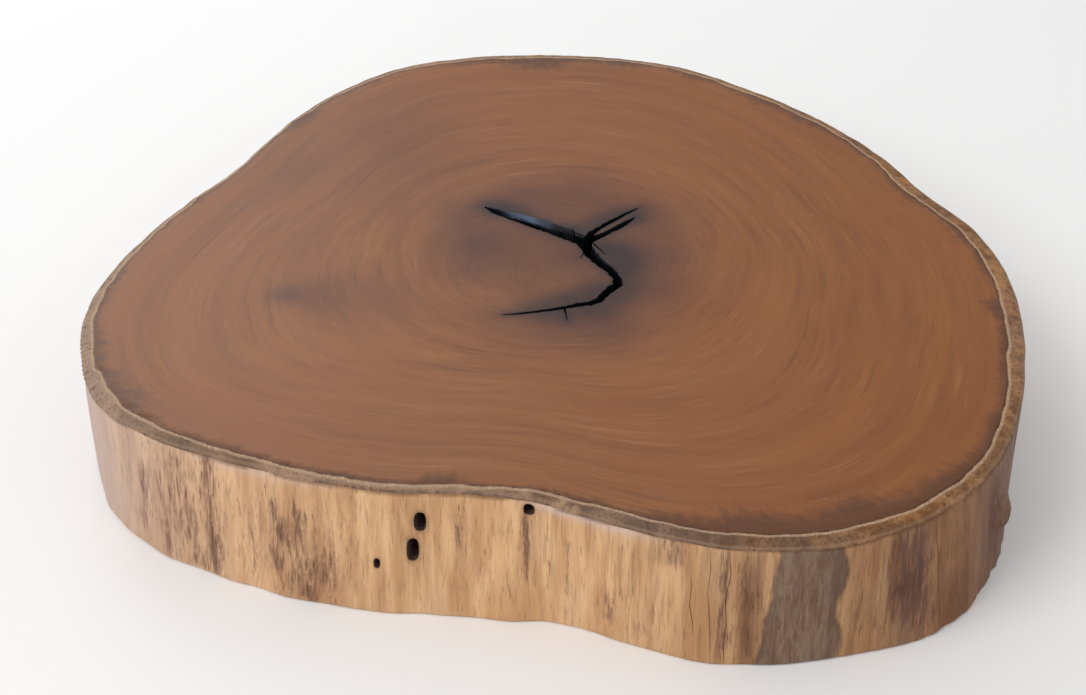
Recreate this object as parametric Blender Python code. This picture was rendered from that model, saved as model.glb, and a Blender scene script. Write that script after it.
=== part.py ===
"""A thick slice of a tree trunk: peeled of its bark, polished on top, with an open heart crack.

It grew as one piece, so it is one solid. +Z is up along the grain, and the origin is under
the middle of the slice, on the surface that it rests on. All lengths are in metres. A bearing
is in degrees about the heart of the tree, anticlockwise from +X as seen from above.
"""

from math import cos, exp, radians, sin, sqrt

import bmesh
import bpy
from mathutils import Vector

THICKNESS = 0.120
HEART = Vector((-0.010, -0.005))

# How far the top edge stands from the heart, every 10 degrees: the trunk had three broad lobes.
EDGE_REACH = (
    0.409, 0.397, 0.379, 0.380, 0.383, 0.388, 0.396, 0.408, 0.410,
    0.410, 0.411, 0.407, 0.389, 0.367, 0.346, 0.335, 0.343, 0.357,
    0.376, 0.396, 0.408, 0.414, 0.397, 0.373, 0.356, 0.343, 0.330,
    0.337, 0.373, 0.418, 0.450, 0.463, 0.460, 0.445, 0.429, 0.418,
)
# Width of the pale sapwood rim between the flat face and the side, every 20 degrees.
RIM_WIDTH = (
    0.018, 0.019, 0.015, 0.015, 0.015, 0.016, 0.012, 0.007, 0.009,
    0.011, 0.012, 0.009, 0.005, 0.005, 0.014, 0.015, 0.012, 0.016,
)
# How far the underside stands outside the top edge, every 12 degrees: the trunk flared at the front.
FLARE = (
    0.000, 0.000, -0.002, -0.003, -0.002, -0.004, -0.005, -0.004, -0.003, -0.001,
    -0.003, -0.004, -0.004, -0.003, -0.004, -0.003, -0.002, -0.0045, 0.002, 0.0085,
    0.012, 0.009, 0.013, -0.001, 0.002, -0.0035, 0.009, 0.005, -0.005, -0.004,
)

# The rim rounds over from the flat face down to the side: share of its width, and drop.
RIM_PROFILE = ((1.0, 0.0), (0.62, 0.0008), (0.30, 0.0022), (0.08, 0.0040), (0.0, 0.0060))
RIM_DROP = RIM_PROFILE[-1][1]

# The side under the rim is cut back on the left, which leaves the rim as a thin lip.
LIP_BEARING = 187
LIP_SPREAD = 15
LIP_DEPTH = 0.0045
LIP_HEIGHT = 0.003
LIP_FADE = 0.030

# Shallow upright flutes of the peeled side: waves around the trunk, their depth, phase and lean.
# They reach their full depth this share of the way down.
FLUTES = ((13, 0.0005, 0.4, 0.3), (23, 0.0006, 2.1, -0.5), (37, 0.0005, 4.0, 0.8), (49, 0.0004, 1.2, -0.6))
FLUTES_FULL_AT = 0.33

# The sawn edge of the underside is broken by this much.
UNDERSIDE_BREAK = 0.002

COLUMNS = 200
SIDE_ROWS = 9
SHARP_ANGLE = 35
BEARINGS = [360 * column / COLUMNS for column in range(COLUMNS)]

# Stub of a small branch, standing out of the side at the front right.
KNOT_BEARING = 324.4
KNOT_HEIGHT = 0.052
KNOT_RADIUS = 0.014
KNOT_PROUD = 0.008
KNOT_SEGMENTS = 16

# The heart crack: arms that meet beside the heart. Each point is x, y and the width there.
CRACK_ARMS = {
    "left": (
        (-0.061, 0.094, 0.0020), (-0.050, 0.0845, 0.0090), (-0.036, 0.080, 0.0150),
        (-0.018, 0.069, 0.0185), (-0.0015, 0.056, 0.0195), (0.0135, 0.045, 0.0185),
        (0.029, 0.034, 0.0150),
    ),
    "upper_right": (
        (0.031, 0.036, 0.0095), (0.036, 0.048, 0.0065), (0.043, 0.0565, 0.0050),
        (0.054, 0.068, 0.0050), (0.066, 0.080, 0.0038), (0.079, 0.0915, 0.0014),
    ),
    "lower_right": (
        (0.032, 0.034, 0.0100), (0.040, 0.040, 0.0080), (0.048, 0.0465, 0.0062),
        (0.059, 0.057, 0.0064), (0.0675, 0.066, 0.0058), (0.0755, 0.0745, 0.0018),
    ),
    "tail": (
        (0.028, 0.036, 0.0150), (0.0305, 0.024, 0.0125), (0.035, 0.0115, 0.0115),
        (0.0425, -0.0025, 0.0102), (0.0505, -0.014, 0.0095), (0.0565, -0.026, 0.0080),
        (0.0575, -0.0375, 0.0090), (0.051, -0.0455, 0.0088), (0.046, -0.0535, 0.0075),
        (0.040, -0.064, 0.0078), (0.032, -0.0685, 0.0070), (0.022, -0.071, 0.0058),
        (0.0125, -0.0745, 0.0046), (-0.002, -0.0788, 0.0038), (-0.015, -0.0818, 0.0033),
        (-0.028, -0.0845, 0.0027), (-0.042, -0.0863, 0.0012),
    ),
    "side_check": ((0.0105, -0.0745, 0.0030), (0.0115, -0.084, 0.0022), (0.013, -0.0985, 0.0010)),
}
# The crack is deepest where it is widest, and narrows to a share of its width at the floor.
CRACK_DEPTH = 0.085
CRACK_WIDEST = 0.0195
CRACK_FLOOR_SHARE = 0.14
CUT_CLEARANCE = 0.010

# Beetle holes bored into the side: bearing, height, width and height of the oval mouth.
BEETLE_HOLES = (
    (254.0, 0.088, 0.0092, 0.0150),
    (253.1, 0.062, 0.0096, 0.0180),
    (248.6, 0.048, 0.0052, 0.0085),
    (268.5, 0.107, 0.0085, 0.0095),
)
HOLE_DEPTH = 0.018
HOLE_SIDES = 14

WOOD_COLOUR = (0.262, 0.107, 0.045, 1.0)
WOOD_ROUGHNESS = 0.38


def around(values, bearing):
    """Value at a bearing on a smooth curve through values given at even steps right round."""
    place = bearing % 360 / 360 * len(values)
    step = int(place)
    t = place - step
    before, start, end, after = (values[(step + k) % len(values)] for k in (-1, 0, 1, 2))
    slope_in = (end - before) / 2
    slope_out = (after - start) / 2
    rise = end - start
    bend = 3 * rise - 2 * slope_in - slope_out
    twist = slope_in + slope_out - 2 * rise
    return start + t * (slope_in + t * (bend + t * twist))


def bearing_gap(bearing, middle):
    """Signed angle between two bearings, in degrees."""
    return (bearing - middle + 180) % 360 - 180


def flute(bearing, share_down):
    """Waviness of the peeled side, outwards."""
    turn = radians(bearing)
    return sum(
        depth * sin(waves * turn + phase + lean * share_down) for waves, depth, phase, lean in FLUTES
    )


def lip(bearing, height):
    """How far the side is cut back below the rim."""
    below = max(0.0, THICKNESS - RIM_DROP - LIP_HEIGHT - height)
    across = exp(-((bearing_gap(bearing, LIP_BEARING) / LIP_SPREAD) ** 2))
    return LIP_DEPTH * across * exp(-below / LIP_FADE)


def side_reach(bearing, height):
    """Distance of the side from the heart at a height."""
    share_down = 1 - height / THICKNESS
    flared = around(FLARE, bearing) * share_down
    waves = flute(bearing, share_down) * min(1.0, share_down / FLUTES_FULL_AT)
    return around(EDGE_REACH, bearing) + flared + waves - lip(bearing, height)


def point_at(bearing, reach, height):
    """Point at a bearing and a distance from the heart."""
    turn = radians(bearing)
    return Vector((HEART.x + reach * cos(turn), HEART.y + reach * sin(turn), height))


def rim_ring(share, drop):
    """Ring of points on the rounded rim: a share of its width in from the side, and a drop."""
    return [
        point_at(b, around(EDGE_REACH, b) - share * around(RIM_WIDTH, b), THICKNESS - drop)
        for b in BEARINGS
    ]


def side_ring(height, inset=0.0):
    """Ring of points on the side at a height, or set in from it."""
    return [point_at(b, side_reach(b, height) - inset, height) for b in BEARINGS]


def make_slice():
    """The trunk slice: rings from the flat face over the rim and down the side, bridged and capped."""
    top = THICKNESS - RIM_DROP - LIP_HEIGHT
    heights = [top + (UNDERSIDE_BREAK - top) * row / (SIDE_ROWS - 1) for row in range(SIDE_ROWS)]
    rings = [rim_ring(share, drop) for share, drop in RIM_PROFILE]
    rings += [side_ring(height) for height in heights]
    rings.append(side_ring(0.0, UNDERSIDE_BREAK))

    bm = bmesh.new()
    loops = []
    for points in rings:
        first_edge = len(bm.edges)
        verts = bmesh.ops.create_circle(bm, segments=COLUMNS, radius=1.0)["verts"]
        for vert, point in zip(verts, points):
            vert.co = point
        bm.edges.ensure_lookup_table()
        loops.append(bm.edges[first_edge:])
    for upper, lower in zip(loops, loops[1:]):
        bmesh.ops.bridge_loops(bm, edges=upper + lower)
    bmesh.ops.holes_fill(bm, edges=loops[0] + loops[-1], sides=0)
    bmesh.ops.recalc_face_normals(bm, faces=bm.faces)
    return finish_object("wood_slice", bm)


def crack_section(arm, index):
    """Corners of a crack arm's wedge at one of its points: two above the face, two at the floor."""
    here = Vector(arm[index][:2])
    ahead = Vector(arm[min(index + 1, len(arm) - 1)][:2])
    behind = Vector(arm[max(index - 1, 0)][:2])
    along = (ahead - behind).normalized()
    across = Vector((-along.y, along.x))
    width = arm[index][2]
    depth = CRACK_DEPTH * sqrt(width / CRACK_WIDEST)
    floor = width * CRACK_FLOOR_SHARE
    mouth = width + (width - floor) * CUT_CLEARANCE / depth
    corners = []
    for half, height in (
        (mouth / 2, THICKNESS + CUT_CLEARANCE),
        (-mouth / 2, THICKNESS + CUT_CLEARANCE),
        (-floor / 2, THICKNESS - depth),
        (floor / 2, THICKNESS - depth),
    ):
        spot = here + half * across
        corners.append(Vector((spot.x, spot.y, height)))
    return corners


def make_crack_cutter(name, arm):
    """A tapering wedge that runs along one arm of the crack."""
    bm = bmesh.new()
    ring = [bm.verts.new(corner) for corner in crack_section(arm, 0)]
    face = bm.faces.new(ring)
    for index in range(1, len(arm)):
        grown = bmesh.ops.extrude_discrete_faces(bm, faces=[face])["faces"]
        face = grown[0]
        for vert, corner in zip(face.verts, crack_section(arm, index)):
            vert.co = corner
    bmesh.ops.holes_fill(bm, edges=bm.edges, sides=4)
    bmesh.ops.triangulate(bm, faces=bm.faces)
    bmesh.ops.recalc_face_normals(bm, faces=bm.faces)
    return finish_object(f"crack_{name}", bm)


def make_hole_cutter(number, hole):
    """An oval drill that enters the side square to it."""
    bearing, height, width, tall = hole
    bm = bmesh.new()
    bmesh.ops.create_cone(
        bm, cap_ends=True, segments=HOLE_SIDES, radius1=0.5, radius2=0.5, depth=2 * HOLE_DEPTH
    )
    for vert in bm.verts:
        across, up, along = vert.co
        vert.co = (along, across * width, up * tall)
    cutter = finish_object(f"beetle_hole_{number}", bm)
    cutter.location = point_at(bearing, side_reach(bearing, height), height)
    cutter.rotation_euler.z = radians(bearing)
    return cutter


def make_knot():
    """The branch stub, a low dome sunk into the side."""
    bm = bmesh.new()
    bmesh.ops.create_uvsphere(bm, u_segments=KNOT_SEGMENTS, v_segments=KNOT_SEGMENTS // 2, radius=KNOT_RADIUS)
    knot = finish_object("branch_stub", bm)
    reach = side_reach(KNOT_BEARING, KNOT_HEIGHT) + KNOT_PROUD - KNOT_RADIUS
    knot.location = point_at(KNOT_BEARING, reach, KNOT_HEIGHT)
    return knot


def finish_object(name, bm):
    """A smooth-shaded object from a mesh that is being built."""
    mesh = bpy.data.meshes.new(name)
    bm.to_mesh(mesh)
    bm.free()
    mesh.shade_smooth()
    mesh.set_sharp_from_angle(angle=radians(SHARP_ANGLE))
    return bpy.data.objects.new(name, mesh)


def wood_material():
    """Hardwood, oiled and rubbed to a soft polish."""
    material = bpy.data.materials.new("oiled_hardwood")
    material.use_nodes = True
    shader = material.node_tree.nodes["Principled BSDF"]
    shader.inputs["Base Color"].default_value = WOOD_COLOUR
    shader.inputs["Roughness"].default_value = WOOD_ROUGHNESS
    shader.inputs["Metallic"].default_value = 0.0
    return material


def combine(target, tool, operation):
    """Cut a tool out of the target, or join it on, and keep the tool out of the model."""
    tool.hide_render = True
    tool.display_type = "WIRE"
    modifier = target.modifiers.new(tool.name, "BOOLEAN")
    modifier.operation = operation
    modifier.solver = "EXACT"
    modifier.object = tool


def main():
    for old in list(bpy.data.objects):
        bpy.data.objects.remove(old, do_unlink=True)
    model = bpy.data.collections.new("wood_slice")
    tools = bpy.data.collections.new("wood_slice_cutters")
    for collection in (model, tools):
        bpy.context.scene.collection.children.link(collection)

    trunk = make_slice()
    trunk.data.materials.append(wood_material())
    model.objects.link(trunk)

    knot = make_knot()
    tools.objects.link(knot)
    combine(trunk, knot, "UNION")

    cutters = [make_crack_cutter(name, arm) for name, arm in CRACK_ARMS.items()]
    cutters += [make_hole_cutter(number, hole) for number, hole in enumerate(BEETLE_HOLES, 1)]
    for cutter in cutters:
        tools.objects.link(cutter)
        combine(trunk, cutter, "DIFFERENCE")


main()
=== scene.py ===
"""The looks of a thick slice of a hardwood trunk: peeled, oiled and polished, with an open heart crack.

Lengths are in metres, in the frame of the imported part. A bearing is in degrees about the heart of
the tree, anticlockwise from +X as seen from above. The scripted order is the order of the work on
the slice: grown and sawn, cracked, bored by beetles, peeled, and then oiled.
"""

from math import atan2, copysign, cos, pi, radians, sin, sqrt

import bmesh
import bpy
import numpy as np
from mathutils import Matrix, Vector, noise


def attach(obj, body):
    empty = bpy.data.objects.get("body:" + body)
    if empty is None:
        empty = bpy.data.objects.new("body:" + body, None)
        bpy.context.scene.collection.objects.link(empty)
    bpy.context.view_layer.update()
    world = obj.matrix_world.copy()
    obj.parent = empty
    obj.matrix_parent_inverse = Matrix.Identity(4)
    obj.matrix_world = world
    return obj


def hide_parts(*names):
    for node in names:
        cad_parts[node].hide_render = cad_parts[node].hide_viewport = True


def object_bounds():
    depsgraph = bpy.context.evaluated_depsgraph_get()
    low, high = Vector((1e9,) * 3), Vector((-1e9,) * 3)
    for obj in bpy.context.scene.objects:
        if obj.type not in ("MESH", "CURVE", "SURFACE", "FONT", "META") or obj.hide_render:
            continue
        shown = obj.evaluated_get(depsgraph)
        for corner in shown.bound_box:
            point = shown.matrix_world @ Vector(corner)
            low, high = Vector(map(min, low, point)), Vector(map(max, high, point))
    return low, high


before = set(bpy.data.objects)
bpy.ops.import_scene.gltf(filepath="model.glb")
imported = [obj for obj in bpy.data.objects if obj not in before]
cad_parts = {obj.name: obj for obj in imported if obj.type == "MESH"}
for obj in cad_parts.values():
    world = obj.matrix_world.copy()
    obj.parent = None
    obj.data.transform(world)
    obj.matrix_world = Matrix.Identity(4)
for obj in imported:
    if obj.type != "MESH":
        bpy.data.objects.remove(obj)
cad_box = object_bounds()


# The trunk as it grew and was sawn: one cross slice, three-lobed, flat on both faces. The rim of
# pale sapwood is rounded over by the sander, and the side is the wood right under the bark.

THICKNESS = 0.120
HEART = np.array((-0.010, -0.005))
# How far the top edge stands from the heart, every 10 degrees.
EDGE_REACH = (
    0.409, 0.397, 0.379, 0.380, 0.383, 0.388, 0.396, 0.408, 0.410,
    0.410, 0.411, 0.407, 0.389, 0.367, 0.346, 0.335, 0.343, 0.357,
    0.376, 0.396, 0.408, 0.414, 0.397, 0.373, 0.356, 0.343, 0.330,
    0.337, 0.373, 0.418, 0.450, 0.463, 0.460, 0.445, 0.429, 0.418,
)
# Width of the sapwood rim, every 20 degrees.
RIM_WIDTH = (
    0.018, 0.019, 0.015, 0.015, 0.015, 0.016, 0.012, 0.007, 0.009,
    0.011, 0.012, 0.009, 0.005, 0.005, 0.014, 0.015, 0.012, 0.016,
)
# Ripples of the top edge and of the heartwood line: height, count round the trunk, phase.
EDGE_RIPPLES = ((0.00025, 41, 0.7), (0.00015, 67, 2.9))
LINE_RIPPLES = ((0.0005, 31, 1.0), (0.0004, 53, 2.2), (0.0003, 97, 4.1))
# How far the underside stands outside the top edge, every 12 degrees.
FLARE = (
    0.000, 0.000, -0.002, -0.003, -0.002, -0.004, -0.005, -0.004, -0.003, -0.001,
    -0.003, -0.004, -0.004, -0.003, -0.004, -0.003, -0.002, -0.0045, 0.002, 0.0085,
    0.012, 0.009, 0.013, -0.001, 0.002, -0.0035, 0.009, 0.005, -0.005, -0.004,
)
# The rim from the heartwood line out: share of its width left to the side, and drop. The heartwood
# line itself is a fine shrinkage groove.
RIM_PROFILE = (
    (1.0, 0.0), (0.86, 0.0002), (0.74, 0.0005), (0.62, 0.0008), (0.50, 0.0012), (0.40, 0.0017),
    (0.30, 0.0022), (0.20, 0.0029), (0.12, 0.0036), (0.06, 0.0043), (0.02, 0.0051), (0.0, 0.0060),
)
RIM_DROP = RIM_PROFILE[-1][1]
# The corner under the rim's edge, where the overhang turns into the side.
SEAM_DROP = 0.0012
SEAM_INSET = 0.0008
# Where the rim is narrower than this, its inner line ripples less.
FULL_RIPPLE_WIDTH = 0.012
GROOVE_HALF = 0.0006
GROOVE_DEPTH = 0.0001
# The heartwood line steps inwards at one chip on the left. In degrees: where, how wide the step is,
# over how much the line drifts back, and where the chip ends. The step itself is in metres.
CHIP_BEARING = 204.0
CHIP_START = 0.5
CHIP_STEP = 0.004
CHIP_FADE = 22.0
CHIP_END = 120.0

# The rim overhangs the side on the left: middle and half width in degrees, how far, how thick the
# lip is, and how far down the side comes back out.
LIP_BEARING = 187
LIP_SPREAD = 15
LIP_DEPTH = 0.0045
LIP_HEIGHT = 0.003
LIP_FADE = 0.030
# Flutes of the side: count round the trunk, depth, phase, and how far they lean on the way down.
FLUTES = ((13, 0.0005, 0.4, 0.3), (23, 0.0006, 2.1, -0.5), (37, 0.0005, 4.0, 0.8), (49, 0.0004, 1.2, -0.6))
FLUTES_FULL_AT = 0.33
UNDERSIDE_BREAK = 0.002

COLUMNS = 640
BEARINGS = np.arange(COLUMNS) * 360 / COLUMNS
# Rings of the flat face, as shares of the heartwood's reach: closer together around the crack.
FACE_RINGS = [0.04, 0.06] + [0.08 + 0.0093 * k for k in range(29)] + [0.36 + 0.64 * k / 27 for k in range(28)]
SIDE_ROWS = 34
UNDERSIDE_RINGS = (0.97, 0.90, 0.75, 0.55, 0.35, 0.18, 0.05)


def around(values, bearing):
    """Value at a bearing on a smooth curve through values given at even steps right round."""
    values = np.asarray(values)
    place = np.asarray(bearing) % 360 / 360 * len(values)
    step = np.floor(place).astype(int)
    t = place - step
    before, start, end, after = (values[(step + k) % len(values)] for k in (-1, 0, 1, 2))
    slope_in = (end - before) / 2
    slope_out = (after - start) / 2
    rise = end - start
    bend = 3 * rise - 2 * slope_in - slope_out
    twist = slope_in + slope_out - 2 * rise
    return start + t * (slope_in + t * (bend + t * twist))


def ripple(waves, bearing):
    """Sum of small waves round the trunk, each a height, a count and a phase."""
    turn = np.radians(bearing)
    return sum(size * np.sin(count * turn + phase) for size, count, phase in waves)


def edge_reach(bearing):
    """Distance of the top edge from the heart, with its small ripples."""
    return around(EDGE_REACH, bearing) + ripple(EDGE_RIPPLES, bearing)


def bearing_gap(bearing, middle):
    """Signed angle between bearings, in degrees."""
    return (np.asarray(bearing) - middle + 180) % 360 - 180


def rim_width(bearing):
    """Width of the sapwood rim, with the chip in the heartwood line."""
    past = bearing_gap(bearing, CHIP_BEARING)
    step = np.clip(past / CHIP_START, 0, 1) * np.exp(-np.clip(past, 0, None) / CHIP_FADE)
    width = around(RIM_WIDTH, bearing)
    wander = ripple(LINE_RIPPLES, bearing) * np.clip(width / FULL_RIPPLE_WIDTH, 0, 1)
    return width + wander + CHIP_STEP * np.where(past < CHIP_END, step, 0)


def side_reach(bearing, height):
    """Distance of the side from the heart at a height."""
    share_down = 1 - np.asarray(height) / THICKNESS
    turn = np.radians(bearing)
    waves = sum(d * np.sin(n * turn + phase + lean * share_down) for n, d, phase, lean in FLUTES)
    waves = waves * np.clip(share_down / FLUTES_FULL_AT, 0, 1)
    below = np.clip(THICKNESS - RIM_DROP - LIP_HEIGHT - height, 0, None)
    across = np.exp(-((bearing_gap(bearing, LIP_BEARING) / LIP_SPREAD) ** 2))
    cut_back = LIP_DEPTH * across * np.exp(-below / LIP_FADE)
    return edge_reach(bearing) + around(FLARE, bearing) * share_down + waves - cut_back


def points_at(bearing, reach, height):
    """Points at bearings and distances from the heart."""
    turn = np.radians(bearing)
    x = HEART[0] + reach * np.cos(turn)
    y = HEART[1] + reach * np.sin(turn)
    return np.stack(np.broadcast_arrays(x, y, height), axis=-1)


def finish_object(name, bm):
    """An object from a mesh that is being built."""
    bmesh.ops.recalc_face_normals(bm, faces=bm.faces)
    mesh = bpy.data.meshes.new(name)
    bm.to_mesh(mesh)
    bm.free()
    made = bpy.data.objects.new(name, mesh)
    bpy.context.scene.collection.objects.link(made)
    return made


def slice_rings():
    """Rings of points from the heart over the face, the rim and the side to the underside's middle."""
    edge = edge_reach(BEARINGS)
    width = rim_width(BEARINGS)
    heartwood = edge - width - GROOVE_HALF
    rings = [points_at(BEARINGS, heartwood * share, THICKNESS) for share in FACE_RINGS]
    rings.append(points_at(BEARINGS, edge - width, THICKNESS - GROOVE_DEPTH))
    for share, drop in RIM_PROFILE[1:]:
        rings.append(points_at(BEARINGS, edge - share * width, THICKNESS - drop))
    seam = THICKNESS - RIM_DROP - SEAM_DROP
    rings.append(points_at(BEARINGS, side_reach(BEARINGS, seam) - SEAM_INSET, seam))
    top = THICKNESS - RIM_DROP - LIP_HEIGHT
    for row in range(SIDE_ROWS):
        height = top + (UNDERSIDE_BREAK - top) * row / (SIDE_ROWS - 1)
        rings.append(points_at(BEARINGS, side_reach(BEARINGS, height), height))
    foot = side_reach(BEARINGS, 0.0) - UNDERSIDE_BREAK
    rings.append(points_at(BEARINGS, foot, 0.0))
    rings += [points_at(BEARINGS, foot * share, 0.0) for share in UNDERSIDE_RINGS]
    return rings


def make_slice():
    """The slice itself: one ring drawn out again and again, and closed at the heart on both faces."""
    rings = slice_rings()
    bm = bmesh.new()
    bmesh.ops.create_circle(bm, segments=COLUMNS, radius=1.0)
    for vert, point in zip(bm.verts, rings[0]):
        vert.co = point
    loop = bm.edges[:]
    ends = list(loop)
    for points in rings[1:]:
        grown = bmesh.ops.extrude_edge_only(bm, edges=loop)["geom"]
        fresh = {part for part in grown if isinstance(part, bmesh.types.BMVert)}
        edges = [part for part in grown if isinstance(part, bmesh.types.BMEdge)]
        loop = [edge for edge in edges if fresh.issuperset(edge.verts)]
        for vert in fresh:
            turn = atan2(vert.co.y - HEART[1], vert.co.x - HEART[0])
            vert.co = points[round(turn / (2 * pi) * COLUMNS) % COLUMNS]
    ends += loop
    caps = bmesh.ops.holes_fill(bm, edges=ends, sides=0)["faces"]
    bmesh.ops.poke(bm, faces=caps)
    return finish_object("trunk_slice", bm)


trunk = make_slice()


# The heart crack: the slice opened from the heart as it dried. Its arms are torn, not sawn, so
# their edges are ragged, and the far side of the left arm broke away as a sloping facet.

# Each point of an arm is x, y, the width there, and the width of the facet on the arm's left side.
CRACK_ARMS = {
    "left": (
        (-0.061, 0.094, 0.0020, 0), (-0.050, 0.0845, 0.0090, 0.0006), (-0.0375, 0.0785, 0.0125, 0.0016),
        (-0.0195, 0.0675, 0.0155, 0.0030), (-0.0015, 0.0565, 0.0165, 0.0032),
        (0.0135, 0.0455, 0.0175, 0.0026), (0.029, 0.034, 0.0150, 0.0012),
    ),
    "upper_right": (
        (0.031, 0.036, 0.0095, 0), (0.036, 0.048, 0.0065, 0), (0.043, 0.0565, 0.0050, 0),
        (0.054, 0.068, 0.0050, 0), (0.066, 0.080, 0.0038, 0), (0.079, 0.0915, 0.0014, 0),
    ),
    "lower_right": (
        (0.032, 0.034, 0.0100, 0), (0.040, 0.040, 0.0080, 0), (0.048, 0.0465, 0.0062, 0),
        (0.059, 0.057, 0.0064, 0), (0.0675, 0.066, 0.0058, 0), (0.0755, 0.0745, 0.0018, 0),
    ),
    "tail": (
        (0.028, 0.036, 0.0150, 0), (0.0305, 0.024, 0.0125, 0.0004), (0.035, 0.0115, 0.0115, 0.0010),
        (0.0425, -0.0025, 0.0102, 0.0010), (0.0505, -0.014, 0.0095, 0.0006), (0.0565, -0.026, 0.0080, 0.0003),
        (0.0575, -0.0375, 0.0090, 0), (0.051, -0.0455, 0.0088, 0), (0.046, -0.0535, 0.0075, 0),
        (0.040, -0.064, 0.0078, 0), (0.032, -0.0685, 0.0070, 0), (0.022, -0.071, 0.0058, 0),
        (0.0125, -0.0745, 0.0046, 0), (-0.002, -0.0788, 0.0038, 0), (-0.015, -0.0818, 0.0033, 0),
        (-0.028, -0.0845, 0.0027, 0), (-0.042, -0.0863, 0.0012, 0),
    ),
    "side_check": ((0.0105, -0.0745, 0.0022, 0), (0.0115, -0.084, 0.0016, 0), (0.013, -0.0955, 0.0007, 0)),
    "right_slit": ((0.0365, 0.031, 0.0022, 0), (0.0415, 0.022, 0.0018, 0), (0.0475, 0.0114, 0.0008, 0)),
    "upper_check": ((0.0190, 0.0550, 0.0008, 0), (0.0205, 0.047, 0.0014, 0), (0.0215, 0.041, 0.0016, 0)),
    "heart_check": ((0.0300, 0.0175, 0.0018, 0), (0.0280, 0.0120, 0.0014, 0), (0.0250, 0.0060, 0.0007, 0)),
}
CRACK_DEPTH = 0.085
CRACK_WIDEST = 0.0195
CRACK_FLOOR_SHARE = 0.14
CUT_CLEARANCE = 0.010
FACET_DROP = 1.15
# The torn edges: step along an arm, and how far an edge strays from its line.
TEAR_STEP = 0.0028
TEAR_DEPTH = 0.0016
TEAR_SCALE = 300
TEAR_FULL_WIDTH = 0.006
# Above the face the cutter flares, so that it leaves no skin.
CUT_FLARE = 0.0005
LEAST_DROP = 0.0002


def along_arm(arm):
    """The points of an arm at the tear's step, each with its direction."""
    corners = [np.array(corner, float) for corner in arm]
    fine = []
    for start, end in zip(corners, corners[1:]):
        steps = max(1, round(float(np.hypot(*(end - start)[:2])) / TEAR_STEP))
        fine += [start + (end - start) * k / steps for k in range(steps)]
    fine.append(corners[-1])
    headings = np.gradient(np.array([point[:2] for point in fine]), axis=0)
    return [(point, heading / np.hypot(*heading)) for point, heading in zip(fine, headings)]


def crack_section(point, heading):
    """Corners of a torn arm across one of its points, from above the face round its floor."""
    x, y, width, facet = (float(part) for part in point)
    across = Vector((-float(heading[1]), float(heading[0])))
    tear = TEAR_DEPTH * min(1.0, width / TEAR_FULL_WIDTH)
    left = width / 2 + tear * noise.noise(Vector((x, y, 0.0)) * TEAR_SCALE)
    right = width / 2 + tear * noise.noise(Vector((x, y, 7.0)) * TEAR_SCALE)
    depth = CRACK_DEPTH * sqrt(width / CRACK_WIDEST)
    floor = width * CRACK_FLOOR_SHARE / 2
    drop = max(facet * FACET_DROP, LEAST_DROP)
    corners = []
    for offset, height in (
        (left + CUT_FLARE, CUT_CLEARANCE),
        (-right - CUT_FLARE, CUT_CLEARANCE),
        (-right, 0.0),
        (-floor, -depth),
        (floor, -depth),
        (left - facet - LEAST_DROP / 2, -drop),
        (left, 0.0),
    ):
        spot = Vector((x, y)) + offset * across
        corners.append(Vector((spot.x, spot.y, THICKNESS + height)))
    return corners


def make_crack_cutter(name, arm):
    """What a crack arm removes: its section carried along its line."""
    bm = bmesh.new()
    course = along_arm(arm)
    face = bm.faces.new([bm.verts.new(corner) for corner in crack_section(*course[0])])
    for point, heading in course[1:]:
        face = bmesh.ops.extrude_discrete_faces(bm, faces=[face])["faces"][0]
        for vert, corner in zip(face.verts, crack_section(point, heading)):
            vert.co = corner
    bmesh.ops.holes_fill(bm, edges=bm.edges, sides=7)
    bmesh.ops.triangulate(bm, faces=bm.faces)
    return finish_object(f"crack_{name}", bm)


cutters = [make_crack_cutter(name, arm) for name, arm in CRACK_ARMS.items()]


# Beetle holes in the side, each an oval bore with a softened mouth, the drying checks, fine upright
# splits in the side that follow the fibres, and the marks of the chain saw's teeth in the rim.

# Bearing, height, width and height of the oval mouth.
BEETLE_HOLES = (
    (254, 0.088, 0.0092, 0.0170),
    (253.1, 0.062, 0.0090, 0.0205),
    (248.6, 0.048, 0.0050, 0.0090),
    (268.5, 0.107, 0.0085, 0.0095),
)
HOLE_DEPTH = 0.018
HOLE_SIDES = 28
HOLE_SQUARENESS = 0.75
# Radii of the drill at its tip and its outer end, as shares of the mouth's width.
HOLE_TIP, HOLE_MOUTH = 0.44, 0.58
# A check's points from top to bottom, each bearing and height, with its width and depth.
DRYING_CHECKS = (
    (((286.3, 0.092), (286.5, 0.075), (286.4, 0.055), (286.7, 0.040), (286.8, 0.026)), 0.0006, 0.003),
    (
        ((288.1, 0.116), (288.2, 0.095), (288.0, 0.070), (288.3, 0.045), (288.4, 0.020), (288.5, -0.004)),
        0.0005, 0.003,
    ),
    (
        ((289.8, 0.112), (290.1, 0.090), (289.7, 0.066), (289.9, 0.040), (289.7, 0.018), (289.9, -0.004)),
        0.0008, 0.003,
    ),
    (
        ((310.4, 0.123), (310.6, 0.100), (311.0, 0.075), (311.1, 0.050), (311.5, 0.025), (311.7, 0.004)),
        0.0006, 0.003,
    ),
    (((315.1, 0.074), (315.3, 0.058), (315.3, 0.036)), 0.0008, 0.003),
    (((227.9, 0.052), (228.5, 0.030), (228.7, 0.010)), 0.0005, 0.002),
)
CHECK_END_TAPER = 0.25


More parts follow.
